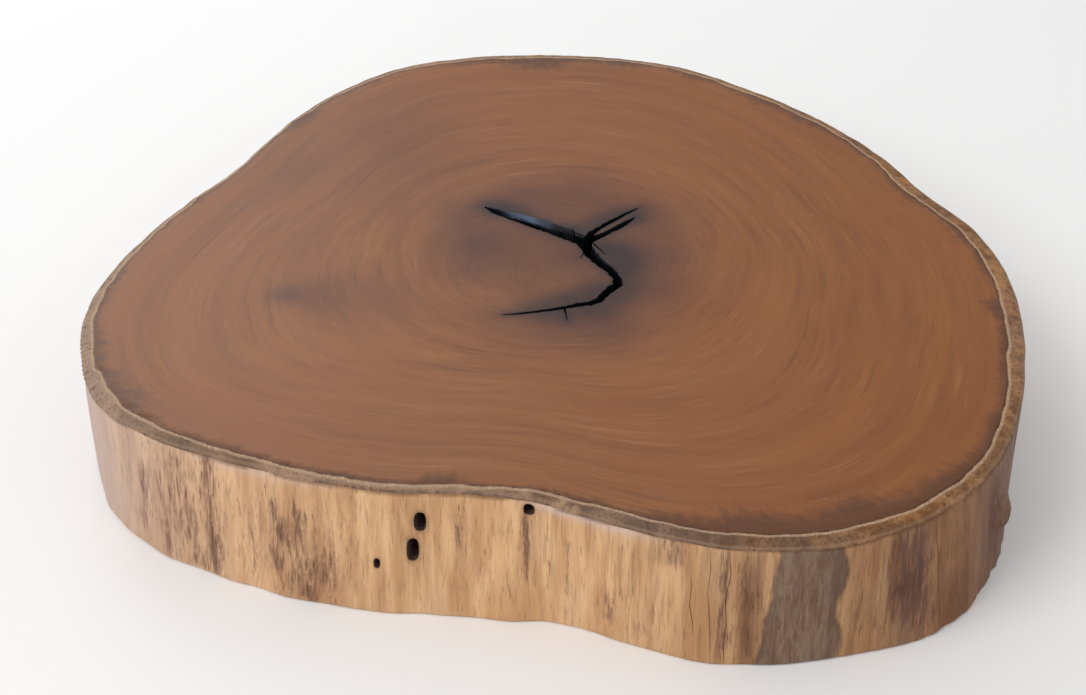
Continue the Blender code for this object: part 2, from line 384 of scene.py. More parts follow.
def make_hole_cutter(number, hole):
    """An oval drill that enters the side square to it, wider at the mouth."""
    bearing, height, width, tall = hole
    bm = bmesh.new()
    bmesh.ops.create_cone(
        bm, cap_ends=True, segments=HOLE_SIDES, radius1=HOLE_TIP, radius2=HOLE_MOUTH, depth=2 * HOLE_DEPTH
    )
    reach = side_reach(bearing, height)
    turn = radians(bearing)
    outward = Vector((cos(turn), sin(turn), 0.0))
    sideways = Vector((-sin(turn), cos(turn), 0.0))
    middle = Vector(points_at(bearing, reach, height))
    for vert in bm.verts:
        across, up, along = vert.co
        mouth = sqrt(across ** 2 + up ** 2)
        across = copysign(abs(across / mouth) ** HOLE_SQUARENESS, across) * mouth * width
        up = copysign(abs(up / mouth) ** HOLE_SQUARENESS, up) * mouth * tall
        vert.co = middle + outward * along + sideways * across + Vector((0, 0, up))
    return finish_object(f"beetle_hole_{number}", bm)


def make_check_cutter(number, check):
    """A thin wedge driven into the side along a drying check."""
    course, width, depth = check
    bm = bmesh.new()
    face = None
    for index, (bearing, height) in enumerate(course):
        reach = float(side_reach(bearing, min(max(height, 0.0), THICKNESS)))
        taper = CHECK_END_TAPER if index in (0, len(course) - 1) else 1.0
        half = np.degrees(width * taper / reach)
        corners = [
            Vector(points_at(bearing + half, reach + depth, height)),
            Vector(points_at(bearing - half, reach + depth, height)),
            Vector(points_at(bearing, reach - depth * taper, height)),
        ]
        if face is None:
            face = bm.faces.new([bm.verts.new(corner) for corner in corners])
            continue
        face = bmesh.ops.extrude_discrete_faces(bm, faces=[face])["faces"][0]
        for vert, corner in zip(face.verts, corners):
            vert.co = corner
    bmesh.ops.holes_fill(bm, edges=bm.edges, sides=3)
    bmesh.ops.triangulate(bm, faces=bm.faces)
    return finish_object(f"drying_check_{number}", bm)


# Saw tooth marks on the left of the rim: bearings of the first and the last, and their step, in
# degrees. They are drawn coarser than real ones, which are 2 to 4 mm apart and would not show.
SAW_FIRST, SAW_LAST, SAW_STEP = 174.0, 205.0, 0.90
SAW_DEPTH = 0.0021
SAW_PROUD = 0.0003
SAW_HALF_SHARE = 0.44
SAW_FOOT = 0.0100
SAW_TOP = 0.0020
# How uneven the marks are: mean depth and its range as shares, sideways stray, and the step
# between marks in the noise that they are drawn from.
SAW_MEAN, SAW_RANGE, SAW_STRAY, SAW_CHANCE_STEP = 0.75, 0.9, 0.1, 3.7


def make_saw_cutter():
    """The chain saw's teeth where they broke out through the rim's edge, as one comb of small wedges."""
    bm = bmesh.new()
    for number, middle in enumerate(np.arange(SAW_FIRST, SAW_LAST, SAW_STEP)):
        chance = noise.noise(Vector((number * SAW_CHANCE_STEP, 0.0, 0.0)))
        depth = SAW_DEPTH * (SAW_MEAN + SAW_RANGE * chance)
        middle += SAW_STRAY * SAW_STEP * chance
        edge = float(edge_reach(middle))
        half = SAW_HALF_SHARE * SAW_STEP
        sides = []
        for height in (THICKNESS - SAW_TOP, THICKNESS - SAW_FOOT):
            sides.append([
                bm.verts.new(points_at(middle + half, edge + SAW_PROUD, height)),
                bm.verts.new(points_at(middle - half, edge + SAW_PROUD, height)),
                bm.verts.new(points_at(middle, edge - depth, height)),
            ])
        upper, lower = sides
        bm.faces.new(upper)
        bm.faces.new(reversed(lower))
        for a, b in ((0, 1), (1, 2), (2, 0)):
            bm.faces.new((upper[b], upper[a], lower[a], lower[b]))
    bmesh.ops.triangulate(bm, faces=bm.faces)
    return finish_object("saw_tooth_marks", bm)


cutters += [make_hole_cutter(number, hole) for number, hole in enumerate(BEETLE_HOLES, 1)]
cutters += [make_check_cutter(number, check) for number, check in enumerate(DRYING_CHECKS, 1)]
cutters.append(make_saw_cutter())


def combine(target, tools, operation, solver):
    """Joins tools to a piece or cuts them out of it, and removes them."""
    for tool in tools:
        step = target.modifiers.new(tool.name, "BOOLEAN")
        step.operation = operation
        step.solver = solver
        step.object = tool
    bpy.context.view_layer.update()
    made = bpy.data.meshes.new_from_object(target.evaluated_get(bpy.context.evaluated_depsgraph_get()))
    target.modifiers.clear()
    target.data = made
    for tool in tools:
        bpy.data.objects.remove(tool, do_unlink=True)


combine(cutters[0], cutters[1:], "UNION", "EXACT")
combine(trunk, cutters[:1], "DIFFERENCE", "MANIFOLD")
cut_mesh = trunk.data
cut_mesh.materials.clear()

co = np.empty(len(cut_mesh.vertices) * 3)
cut_mesh.vertices.foreach_get("co", co)
co = co.reshape(-1, 3)


def seen_from_heart(points):
    """Distance and bearing of points from the heart."""
    away = points[:, :2] - HEART
    return np.hypot(away[:, 0], away[:, 1]), np.degrees(np.arctan2(away[:, 1], away[:, 0])) % 360


reach, bearing = seen_from_heart(co)
height = co[:, 2]


# Which surface of the wood a face belongs to, by where its middle lies: polished, sanded, peeled,
# sawn, torn or bored.

# A hair's breadth, and a distance from the heart that all of the crack lies inside.
HAIR = 0.0001
CRACK_REACH = 0.2
SURFACES = ("polished_heartwood", "sanded_sapwood_rim", "peeled_side", "sawn_underside", "crack_wall", "bore")
edge = edge_reach(bearing)
heartwood_reach = edge - rim_width(bearing)

middles = np.empty(len(cut_mesh.polygons) * 3)
cut_mesh.polygons.foreach_get("center", middles)
middles = middles.reshape(-1, 3)
face_reach, face_bearing = seen_from_heart(middles)
face_heartwood = edge_reach(face_bearing) - rim_width(face_bearing)
face_side = side_reach(face_bearing, middles[:, 2])
drop = THICKNESS - middles[:, 2]
surface = np.full(len(middles), SURFACES.index("peeled_side"))
on_rim_face = (drop < RIM_DROP - HAIR) & (face_reach > face_heartwood - GROOVE_HALF - HAIR)
surface[on_rim_face] = SURFACES.index("sanded_sapwood_rim")
surface[(drop < HAIR / 5) & (face_reach < face_heartwood)] = SURFACES.index("polished_heartwood")
surface[middles[:, 2] < HAIR / 2] = SURFACES.index("sawn_underside")
in_crack = (drop > HAIR / 2) & (middles[:, 2] > HAIR) & (face_reach < CRACK_REACH)
surface[in_crack] = SURFACES.index("crack_wall")
# What lies this far inside the side, under the rim and over the underside, is in a bore or a check.
BORE_INSIDE, BORE_UNDER_RIM, BORE_LOWEST = 0.0011, 0.002, 0.003
inside = (face_reach < face_side - BORE_INSIDE) & (face_reach > CRACK_REACH)
inside &= (drop > RIM_DROP + BORE_UNDER_RIM) & (middles[:, 2] > BORE_LOWEST)
surface[inside] = SURFACES.index("bore")
cut_mesh.polygons.foreach_set("material_index", surface)


# The growth of the tree, as a value that each point of the wood carries: rings stay round near
# the heart, drift off centre, and end by following the outline.

# Growth value, centre and radius of the rings that are still round.
ROUND_RINGS = ((0.078, (-0.012, 0.000), 0.078), (0.146, (0.007, 0.021), 0.146))
# The widest ring that is clear in the wood, as a share of the heartwood's reach, every 30 degrees.
OUTER_RING_GROWTH = 0.265
OUTER_RING_SHARE = (0.61, 0.66, 0.72, 0.74, 0.72, 0.72, 0.72, 0.72, 0.70, 0.68, 0.62, 0.60)
FULL_GROWTH = 0.385


def growth_at(x, y):
    """Growth value of points of the wood."""
    dx = x - HEART[0]
    dy = y - HEART[1]
    r = np.hypot(dx, dy) + 1e-9
    turn = np.degrees(np.arctan2(dy, dx)) % 360
    levels = [(0.0, np.zeros_like(r))]
    for value, centre, radius in ROUND_RINGS:
        cx = centre[0] - HEART[0]
        cy = centre[1] - HEART[1]
        ahead = (dx * cx + dy * cy) / r
        levels.append((value, ahead + np.sqrt(radius ** 2 - cx ** 2 - cy ** 2 + ahead ** 2)))
    outline = edge_reach(turn)
    levels.append((OUTER_RING_GROWTH, outline * around(OUTER_RING_SHARE, turn)))
    levels.append((FULL_GROWTH, outline))
    grown = np.zeros_like(r)
    for (low, low_reach), (high, high_reach) in zip(levels, levels[1:]):
        share = (r - low_reach) / (high_reach - low_reach)
        last = high == FULL_GROWTH
        part = np.clip(share, 0, None if last else 1)
        grown += (high - low) * part
    return grown


def keep_value(name, values):
    """Stores one value for each point of the slice's mesh, for a material to read."""
    layer = cut_mesh.attributes.new(name, "FLOAT", "POINT")
    layer.data.foreach_set("value", np.asarray(values, np.float32))


keep_value("growth", growth_at(co[:, 0], co[:, 1]))
keep_value("from_heartwood_line", reach - heartwood_reach)
keep_value("from_outer_edge", edge - reach)

# Oil and iron stain in the heart: how near each point is to the crack, and the soft dark patches.
# Each patch is x, y, its radius and its strength.
STAIN_PATCHES = (
    (-0.054, 0.094, 0.014, 0.80), (-0.040, 0.091, 0.014, 0.75), (-0.024, 0.083, 0.011, 0.55),
    (-0.006, 0.070, 0.008, 0.30), (0.012, 0.060, 0.009, 0.40), (0.024, 0.051, 0.013, 0.70),
    (0.036, 0.062, 0.011, 0.60), (0.047, 0.073, 0.012, 0.65), (0.060, 0.084, 0.011, 0.60),
    (0.079, 0.082, 0.013, 0.60), (0.078, 0.070, 0.010, 0.45), (0.048, 0.024, 0.013, 0.70),
    (0.060, 0.016, 0.018, 0.80), (0.066, -0.004, 0.018, 0.80), (0.066, -0.022, 0.014, 0.60),
    (0.067, -0.042, 0.012, 0.60), (0.058, -0.060, 0.014, 0.65), (0.040, -0.043, 0.013, 0.60),
    (0.030, -0.054, 0.014, 0.70), (0.012, -0.061, 0.014, 0.70), (-0.006, -0.069, 0.012, 0.60),
    (-0.022, -0.076, 0.010, 0.40), (0.044, -0.078, 0.014, 0.60), (0.028, -0.083, 0.012, 0.60),
    (0.008, -0.086, 0.011, 0.60), (-0.008, -0.090, 0.009, 0.45),
)
# Purple-brown patches of the same stain, wider and weaker.
PURPLE_PATCHES = (
    (-0.066, 0.030, 0.030, 0.75), (-0.075, 0.075, 0.030, 0.55), (-0.070, -0.010, 0.028, 0.45),
    (-0.030, 0.110, 0.035, 0.55), (0.030, 0.118, 0.050, 0.50), (0.090, 0.075, 0.038, 0.50),
    (0.088, 0.010, 0.036, 0.65), (0.085, -0.045, 0.036, 0.60), (0.045, -0.100, 0.036, 0.75),
    (-0.005, -0.100, 0.036, 0.50), (0.000, 0.010, 0.085, 0.55), (0.020, 0.030, 0.050, 0.30),
    (-0.230, -0.055, 0.016, 0.70),
    (-0.200, -0.055, 0.030, 0.40), (-0.150, -0.058, 0.040, 0.30), (-0.150, 0.240, 0.075, 0.28),
    (-0.130, 0.140, 0.060, 0.20), (-0.240, 0.160, 0.050, 0.20),
)


def patches(places):
    """Strength of soft round patches at each point of the mesh."""
    clear = np.ones(len(co))
    for x, y, radius, strength in places:
        away = ((co[:, 0] - x) ** 2 + (co[:, 1] - y) ** 2) / radius ** 2
        clear *= 1 - strength * np.exp(-away)
    return 1 - clear


def crack_distance():
    """Distance of each point from the nearest arm's edge."""
    nearest = np.full(len(co), 1.0)
    for arm in CRACK_ARMS.values():
        for start, end in zip(arm, arm[1:]):
            a = np.array(start[:2])
            step = np.array(end[:2]) - a
            share = np.clip(((co[:, :2] - a) @ step) / (step @ step), 0, 1)
            away = np.hypot(*(co[:, :2] - a - share[:, None] * step).T)
            half = (start[2] + (end[2] - start[2]) * share) / 2
            nearest = np.minimum(nearest, np.clip(away - half, 0, None))
    return nearest


# Painted highlight: where the broken facet on the left arm's far side would catch the light, its wall is
# painted pale blue-grey.
FACET_HIGHLIGHTS = ((-0.033, 0.078, 0.010, 0.9), (-0.020, 0.072, 0.009, 1.0), (-0.006, 0.064, 0.007, 0.5))
keep_value("painted_facet_highlight", patches(FACET_HIGHLIGHTS))
from_crack = crack_distance()
# Strength of the two stains right at the crack, and how far they spread from it.
BLACK_AT_CRACK, BLACK_SPREAD = 0.72, 0.0034
PURPLE_AT_CRACK, PURPLE_SPREAD = 0.45, 0.014
black_clear = 1 - BLACK_AT_CRACK * np.exp(-from_crack / BLACK_SPREAD)
purple_clear = 1 - PURPLE_AT_CRACK * np.exp(-from_crack / PURPLE_SPREAD)
keep_value("black_stain", 1 - (1 - patches(STAIN_PATCHES)) * black_clear)
keep_value("purple_stain", 1 - (1 - patches(PURPLE_PATCHES)) * purple_clear)

# Ragged dark stain just inside the heartwood line: bearing, half width in degrees, reach inwards
# and strength. Between these marks a weaker stain runs all round.
STAIN_ALL_ROUND, STAIN_ALL_ROUND_DEPTH = 0.55, 0.0045
EDGE_STAINS = (
    (90, 6, 0.030, 0.9), (78, 3.5, 0.018, 0.7), (100, 6, 0.012, 0.6), (67, 4.5, 0.016, 0.6),
    (54, 6, 0.026, 0.5), (45, 5, 0.016, 0.5), (33, 6, 0.008, 0.4), (20, 6, 0.010, 0.5),
    (8, 4, 0.012, 0.7), (0.0, 4, 0.009, 0.5), (350, 2.5, 0.020, 0.7), (343, 5, 0.009, 0.6),
    (335, 5, 0.010, 0.5), (326, 5, 0.012, 0.7), (315, 7, 0.022, 0.8), (304, 6, 0.036, 1),
    (294, 6, 0.034, 1), (286, 4, 0.018, 0.8), (275, 6, 0.010, 0.5), (256, 4, 0.020, 0.7),
    (244, 8, 0.010, 0.5), (228, 8, 0.014, 0.5), (211, 8, 0.032, 0.6), (200, 6, 0.014, 0.6),
    (186, 8, 0.010, 0.5), (160, 9, 0.008, 0.4), (131, 5, 0.016, 0.7), (118, 6, 0.010, 0.4),
)
inwards = np.clip(heartwood_reach - reach, 0, None)
edge_clear = np.ones(len(co))
for middle, half, depth, strength in EDGE_STAINS:
    across = np.exp(-((bearing_gap(bearing, middle) / half) ** 2))
    edge_clear *= 1 - strength * across * np.exp(-((inwards / depth) ** 2))
edge_clear *= 1 - STAIN_ALL_ROUND * np.exp(-inwards / STAIN_ALL_ROUND_DEPTH)
keep_value("edge_stain", 1 - edge_clear)

# What weather and beetles left on the side. Each mark is bearing, height, half width in degrees,
# half height and strength.
MOTTLE_MARKS = (
    (226.4, 0.105, 0.6, 0.020, 0.8), (226.8, 0.070, 0.7, 0.030, 0.8), (227.4, 0.025, 1.1, 0.028, 0.9),
    (225.2, 0.012, 0.8, 0.014, 0.7), (217.3, 0.066, 0.8, 0.018, 0.9), (216.9, 0.035, 0.9, 0.020, 0.5),
    (222, 0.060, 7, 0.060, 0.45), (223.4, 0.050, 1.2, 0.050, 0.35), (220.8, 0.012, 0.5, 0.018, 0.6),
    (234.2, 0.098, 0.5, 0.010, 0.7), (234.9, 0.084, 0.5, 0.010, 0.8), (235.7, 0.070, 0.6, 0.012, 0.9),
    (236.4, 0.060, 0.5, 0.010, 0.7), (237.9, 0.088, 0.4, 0.012, 0.8), (238.6, 0.072, 0.6, 0.016, 0.9),
    (235.5, 0.036, 0.6, 0.012, 0.8), (232.5, 0.045, 0.5, 0.035, 0.45), (239.8, 0.022, 3.2, 0.024, 0.6),
    (237, 0.040, 6, 0.050, 0.35), (242.5, 0.030, 1.2, 0.030, 0.4), (246, 0.070, 1.6, 0.050, 0.2),
    (259.2, 0.080, 0.8, 0.022, 0.45), (268.1, 0.085, 0.7, 0.020, 1), (268.3, 0.055, 0.6, 0.020, 0.8),
    (271, 0.060, 0.6, 0.050, 0.3), (273.4, 0.052, 0.5, 0.050, 0.5), (278.2, 0.034, 1.3, 0.018, 0.6),
    (280, 0.060, 1.6, 0.040, 0.2), (281.6, 0.016, 1, 0.010, 0.5), (284.9, 0.102, 1.2, 0.014, 0.8),
    (283.2, 0.050, 0.5, 0.040, 0.4), (289.5, 0.080, 0.4, 0.030, 1), (289.3, 0.030, 0.4, 0.028, 1),
    (291.5, 0.080, 0.8, 0.030, 0.5), (290.6, 0.020, 0.8, 0.024, 0.5), (302.5, 0.060, 0.6, 0.050, 0.5),
    (304.2, 0.030, 0.7, 0.030, 0.5), (306.6, 0.080, 1.3, 0.036, 0.8), (308.6, 0.090, 1.2, 0.026, 0.9),
    (307.8, 0.050, 1.8, 0.036, 1), (309.6, 0.022, 1.6, 0.026, 0.7), (305.6, 0.060, 0.4, 0.060, 0.7),
    (313, 0.040, 1, 0.050, 0.3), (318, 0.030, 2, 0.030, 0.4), (322, 0.060, 2, 0.050, 0.4),
    (328, 0.060, 11, 0.070, 0.5), (321, 0.070, 0.5, 0.040, 0.9), (327, 0.030, 3, 0.030, 0.6),
    (254.4, 0.075, 0.8, 0.030, 0.25), (262.5, 0.040, 1.4, 0.040, 0.25), (296.5, 0.050, 4, 0.060, 0.5),
)


def side_marks(marks):
    """Strength of soft upright marks on the side at each point of the mesh."""
    clear = np.ones(len(co))
    for middle, level, half, tall, strength in marks:
        across = np.exp(-((bearing_gap(bearing, middle) / half) ** 2))
        clear *= 1 - strength * across * np.exp(-(((height - level) / tall) ** 4))
    return 1 - clear


keep_value("mottle", side_marks(MOTTLE_MARKS))

# Where damp darkened the side evenly. Each stain is bearing, height, half width in degrees, half
# height and strength.
DAMP_STAINS = (
    (307.6, 0.080, 1.9, 0.040, 0.30), (308.4, 0.040, 2.1, 0.040, 0.22), (306, 0.075, 0.5, 0.060, 0.30),
    (292, 0.050, 1.1, 0.070, 0.70), (289.5, 0.060, 0.45, 0.060, 0.45), (240.5, 0.034, 5.5, 0.050, 0.34),
    (235.5, 0.070, 2.4, 0.030, 0.20), (222.4, 0.050, 4, 0.060, 0.12), (227, 0.030, 1, 0.034, 0.28),
    (314.5, 0.025, 3, 0.030, 0.35), (268.2, 0.080, 0.5, 0.030, 0.45), (259.2, 0.080, 0.9, 0.030, 0.35),
    (321.5, 0.060, 2.5, 0.050, 0.35), (283.6, 0.100, 1.6, 0.016, 0.35),
)
keep_value("damp_stain", side_marks(DAMP_STAINS))

# The grey weathered patch at the front right, between a slanted border and a wavy one. Each border
# is its bearing, how far it slants or waves, and how soft it is, in degrees.
PATCH_LEFT, PATCH_SLANT, LEFT_SOFTNESS = 292.7, 1.6, 0.35
PATCH_RIGHT, PATCH_WAVE, RIGHT_SOFTNESS = 301.2, 0.4, 0.9
WAVES_UP = 90
# Weaker patches: bearing, half width in degrees, how abruptly they end, and strength.
WEAK_PATCHES = ((308, 2.4, 4, 0.45), (226.9, 1.5, 4, 0.25), (332, 12, 2, 0.75))
patch_left = PATCH_LEFT + PATCH_SLANT * height / THICKNESS
patch_right = PATCH_RIGHT + PATCH_WAVE * np.sin(height * WAVES_UP)
weathered = np.clip((bearing - patch_left) / LEFT_SOFTNESS, 0, 1)
weathered *= np.clip((patch_right - bearing) / RIGHT_SOFTNESS, 0, 1)
for middle, half, abruptness, strength in WEAK_PATCHES:
    weathered += strength * np.exp(-((bearing_gap(bearing, middle) / half) ** abruptness))
keep_value("weathered", np.clip(weathered, 0, 1))

# How bleached the side is, every 12 degrees: most at the left end and just past the right one.
BLEACH = (
    0.50, 0.25, 0.20, 0.28, 0.40, 0.52, 0.62, 0.70, 0.74, 0.76, 0.78, 0.80, 0.82, 0.86, 0.92,
    1.0, 1.0, 1.0, 0.55, 0.24, 0.15, 0.12, 0.10, 0.10, 0.08, 0.04, 0.03, 0.55, 0.90, 0.85,
)
keep_value("bleach", around(BLEACH, bearing))

# How brown and dark the side is, every 12 degrees: most at the right end. It is partly aged wood and partly
# painted shade, as that end faces away from the key light.
AGED_AND_SHADE = (
    0.80, 0.82, 0.80, 0.70, 0.60, 0.55, 0.50, 0.45, 0.40, 0.35, 0.30, 0.25, 0.20, 0.15, 0.08,
    0.04, 0.0, 0.0, 0.0, 0.0, 0.0, 0.0, 0.0, 0.03, 0.30, 0.62, 0.92, 1.0, 0.80, 0.72,
)
keep_value("aged_and_shade", np.clip(around(AGED_AND_SHADE, bearing), 0, 1))

# Darker, dusty stretches of the rim. Each is its middle, half width in degrees and strength.
RIM_STAINS = (
    (288.5, 4.5, 0.75), (296, 2.2, 0.90), (222, 6, 0.55), (231, 3, 0.60), (243, 4, 0.35),
    (304.5, 2, 0.50), (322, 4, 0.40), (8, 5, 0.35), (28, 4, 0.40), (183, 3, 0.35),
)
rim_clear = np.ones(len(co))
for middle, half, strength in RIM_STAINS:
    rim_clear *= 1 - strength * np.exp(-((bearing_gap(bearing, middle) / half) ** 2))
keep_value("rim_stain", 1 - rim_clear)

# Painted highlight: a pale band of the side right under the rim, where its rounded top edge would catch the
# light. Each stretch is its middle, half width and strength, and all of them reach equally far down.
LIP_HIGHLIGHTS = ((233, 9, 0.45), (275.8, 7.2, 0.90))
LIP_HIGHLIGHT_REACH = 0.0062
lip_highlight_clear = np.ones(len(co))
for middle, half, strength in LIP_HIGHLIGHTS:
    across = np.exp(-((bearing_gap(bearing, middle) / half) ** 4))
    below = np.clip(THICKNESS - RIM_DROP - height, 0, None)
    lip_highlight_clear *= 1 - strength * across * np.exp(-((below / LIP_HIGHLIGHT_REACH) ** 2))
keep_value("painted_lip_highlight", 1 - lip_highlight_clear)

# Dark rims of the bores: how dark, where the mouth's edge lies and how far the shade reaches, both
# as shares of the mouth's width.
SHADE_STRENGTH, SHADE_START, SHADE_REACH = 0.45, 0.5, 0.16
shade_clear = np.ones(len(co))
for middle, level, width, tall in BEETLE_HOLES:
    sideways = np.radians(bearing_gap(bearing, middle)) * reach / width
    upward = (height - level) / tall
    away = np.sqrt(sideways ** 2 + upward ** 2)
    shade = np.exp(-(np.clip(away - SHADE_START, 0, None) / SHADE_REACH) ** 2)
    shade_clear *= 1 - SHADE_STRENGTH * shade
keep_value("bore_shade", 1 - shade_clear)

# The peeled side's fibres: fine upright ridges, rougher at the right end and at the torn foot. The
# stub of a small branch swells out at the front right.
KNOT_BEARING = 324.4
KNOT_HEIGHT = 0.052
KNOT_RADIUS = 0.012
KNOT_STRETCH = 1.15
KNOT_PROUD = 0.0078
KNOT_FLATNESS = 1.3
# Fine and coarse ridges: height, and waves in a metre across and along the fibres.
FINE_RIDGES = (0.00022, 260, 14)
COARSE_RIDGES = (0.00035, 90, 7)
# How much rougher the right end is, and its torn foot, and how high that foot is.
ROUGH_BEARING = 326
ROUGH_SPREAD = 16
ROUGHER, FOOT_ROUGHER, FOOT_HEIGHT = 2.2, 3.0, 0.045
# The ridges fade in over this much below the rim, on all that lies this near the top edge's line.
RIDGE_FADE = 0.006
SIDE_BAND = 0.010

on_side = (height < THICKNESS - RIM_DROP + 2 * HAIR) & (height > 2 * HAIR) & (reach > edge - SIDE_BAND)
ridges = np.zeros(len(co))
for index in np.nonzero(on_side)[0]:
    x, y, z = co[index]
    for offset, (proud, across, along) in ((0, FINE_RIDGES), (40, COARSE_RIDGES)):
        ridges[index] += proud * noise.noise(Vector((x * across + offset, y * across, z * along)))
rough = np.exp(-((bearing_gap(bearing, ROUGH_BEARING) / ROUGH_SPREAD) ** 2))
ridges *= 1 + ROUGHER * rough + FOOT_ROUGHER * rough * np.clip(1 - height / FOOT_HEIGHT, 0, 1)
fade_in = np.clip((THICKNESS - RIM_DROP - height) / RIDGE_FADE, 0, 1)
knot_across = np.radians(bearing_gap(bearing, KNOT_BEARING)) * reach / KNOT_RADIUS
knot_up = (height - KNOT_HEIGHT) / (KNOT_RADIUS * KNOT_STRETCH)
knot = KNOT_PROUD * np.exp(-(knot_across ** 2 + knot_up ** 2) ** KNOT_FLATNESS)
push = np.where(on_side, ridges * fade_in + knot, 0.0)
outward = (co[:, :2] - HEART) / np.maximum(reach, 1e-9)[:, None]
co[:, :2] += outward * push[:, None]

# The sander rode over softer and harder spots of the rim, and left it lumpy: hollows of this depth
# and of so many to the metre, with smaller, shallower ones on them. The bias makes hollows commoner.
LUMP_DEPTH = 0.0007
LUMP_SCALE = 75
SMALL_LUMP_SCALE = LUMP_SCALE * 2.4
SMALL_LUMP_SHARE = 0.5
LUMP_BIAS = 0.1
on_rim = (height > THICKNESS - RIM_DROP) & (height < THICKNESS - HAIR / 2) & (reach > heartwood_reach)
for index in np.nonzero(on_rim)[0]:
    x, y, z = co[index]
    lump = noise.noise(Vector((x, y, 0.0)) * LUMP_SCALE)
    small_lump = noise.noise(Vector((x, y, 3.0)) * SMALL_LUMP_SCALE)
    co[index, 2] -= LUMP_DEPTH * max(0.0, lump + SMALL_LUMP_SHARE * small_lump + LUMP_BIAS)
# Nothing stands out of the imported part's box. Edges that turn by more than this angle stay sharp.
SHARP_FROM = 38
co = np.clip(co, np.array(cad_box[0]), np.array(cad_box[1]))
cut_mesh.vertices.foreach_set("co", co.ravel())
cut_mesh.shade_smooth()
cut_mesh.set_sharp_from_angle(angle=radians(SHARP_FROM))
cut_mesh.update()


def linear(hex_colour):
    """An sRGB hex colour as the linear values that a shader takes."""
    parts = [int(hex_colour[k:k + 2], 16) / 255 for k in (1, 3, 5)]
    return tuple(c / 12.92 if c <= 0.04045 else ((c + 0.055) / 1.055) ** 2.4 for c in parts) + (1.0,)


def feed(tree, node, fed):
    """Feeds a node's inputs, each with a value, a hex colour or another node's output."""
    for socket, source in fed.items():
        if isinstance(source, bpy.types.NodeSocket):
            tree.links.new(source, node.inputs[socket])
        else:
            node.inputs[socket].default_value = linear(source) if isinstance(source, str) else source


def add_node(tree, kind, fed, output=0, **settings):
    """Adds a node with its settings and what is fed to it, and gives one of its outputs."""
    made = tree.nodes.new("ShaderNode" + kind)
    for name, value in settings.items():
        setattr(made, name, value)
    feed(tree, made, fed)
    return made.outputs[output]


def start_material(mesh, name, *marks):
    """Puts a material on a mesh. Gives its tree, its shader, the object's own coordinates, and the
    values of the named marks that the mesh's points carry."""
    material = bpy.data.materials.new(name)
    material.use_nodes = True
    mesh.materials.append(material)
    tree = material.node_tree
    place = add_node(tree, "TexCoord", {}, "Object")
    carried = [add_node(tree, "Attribute", {}, "Fac", attribute_name=mark) for mark in marks]
    return tree, tree.nodes["Principled BSDF"], place, *carried


def grain(tree, place, width, detail=2.0, roughness=0.5, stretch=(1, 1, 1), distortion=0.0):
    """Wood grain about so many millimetres wide, drawn out along each axis that the stretch is small on."""
    drawn = add_node(tree, "Mapping", {"Vector": place, "Scale": stretch})
    fed = {"Vector": drawn, "Scale": 1000 / width, "Detail": detail, "Roughness": roughness}
    return add_node(tree, "TexNoise", {**fed, "Distortion": distortion}, "Fac")


def ring_place(tree, place, along, across=1.0):
    """Coordinates that follow the growth rings: direction from the heart, and growth as the height."""
    centred = add_node(
        tree, "Mapping", {"Vector": place, "Location": (-HEART[0], -HEART[1], 0.0), "Scale": (1, 1, 0)}
    )
    heading = add_node(tree, "VectorMath", {0: centred}, operation="NORMALIZE")
    turned = add_node(tree, "VectorMath", {0: heading, "Scale": along}, operation="SCALE")
    growth = add_node(tree, "Attribute", {}, "Fac", attribute_name="growth")
    grown = add_node(tree, "Math", {0: growth, 1: across}, operation="MULTIPLY")
    upward = add_node(tree, "CombineXYZ", {2: grown})
    return add_node(tree, "VectorMath", {0: turned, 1: upward}, operation="ADD")


def shows(tree, cover, *patterns):
    """How much of a layer shows: its cover, brought down by each pattern that it follows. A pattern
    stands alone, or with the two of its values between which the layer sets in."""
    for pattern, *span in patterns:
        if span:
            fed = {"Value": pattern, "From Min": span[0], "From Max": span[1], "To Max": cover}
            cover = add_node(tree, "MapRange", fed, interpolation_type="SMOOTHSTEP")
        else:
            cover = add_node(tree, "Math", {0: pattern, 1: cover}, operation="MULTIPLY")
    return cover


def stain(tree, colour, *layers, blend_type="MIX"):
    """Lays colours over a colour. Each layer is its colour, its cover, and the patterns that it follows."""
    for over, cover, *patterns in layers:
        amount = shows(tree, cover, *patterns)
        colour = add_node(
            tree, "Mix", {0: amount, 6: colour, 7: over}, 2, data_type="RGBA", blend_type=blend_type
        )
    return colour


# Polished heartwood: a dense brown tropical hardwood, sanded fine and oiled to a soft polish. The eye
# sees growth rings about 12 mm apart, a red-brown cloud, and a silky sheen. Real pores are finer
# than 0.5 mm and would not show, so they are drawn about 2 mm wide.

RING_SPACING_MM = 11.90

tree, shader, place, purple_stain, edge_stain, black_stain = start_material(
    cut_mesh, "oiled_heartwood", "purple_stain", "edge_stain", "black_stain"
)
wide = grain(tree, ring_place(tree, place, 0.040), 38.46)
rings = grain(tree, ring_place(tree, place, 0.013), RING_SPACING_MM, 3.0, 0.55)
lines = grain(tree, ring_place(tree, place, 0.0075), 5.263, 3.0, 0.6)
hair = grain(tree, ring_place(tree, place, 0.016), 3.030, 2.0, 0.6)
torn = grain(tree, ring_place(tree, place, 0.36, 0.50), 6.667, 4.0, 0.65)
cloud = grain(tree, place, 181.8)
clear = grain(tree, place, 111.1)
clear_hair = grain(tree, place, 41.67, 2.0, 0.6)
pores = grain(tree, place, 1.923, 2.0, 0.6)
rightwards = add_node(tree, "SeparateXYZ", {0: place})
both_rings = add_node(tree, "Mix", {0: 0.55, 2: wide, 3: rings})
ragged = add_node(tree, "Math", {0: torn, 1: 0.9, 2: edge_stain}, operation="MULTIPLY_ADD")
colour = stain(
    tree, "#7A4926",
    ("#946038", 1.0, (both_rings, 0.28, 0.72)),
    ("#8B542F", 0.6, (cloud, 0.35, 0.70)),
)
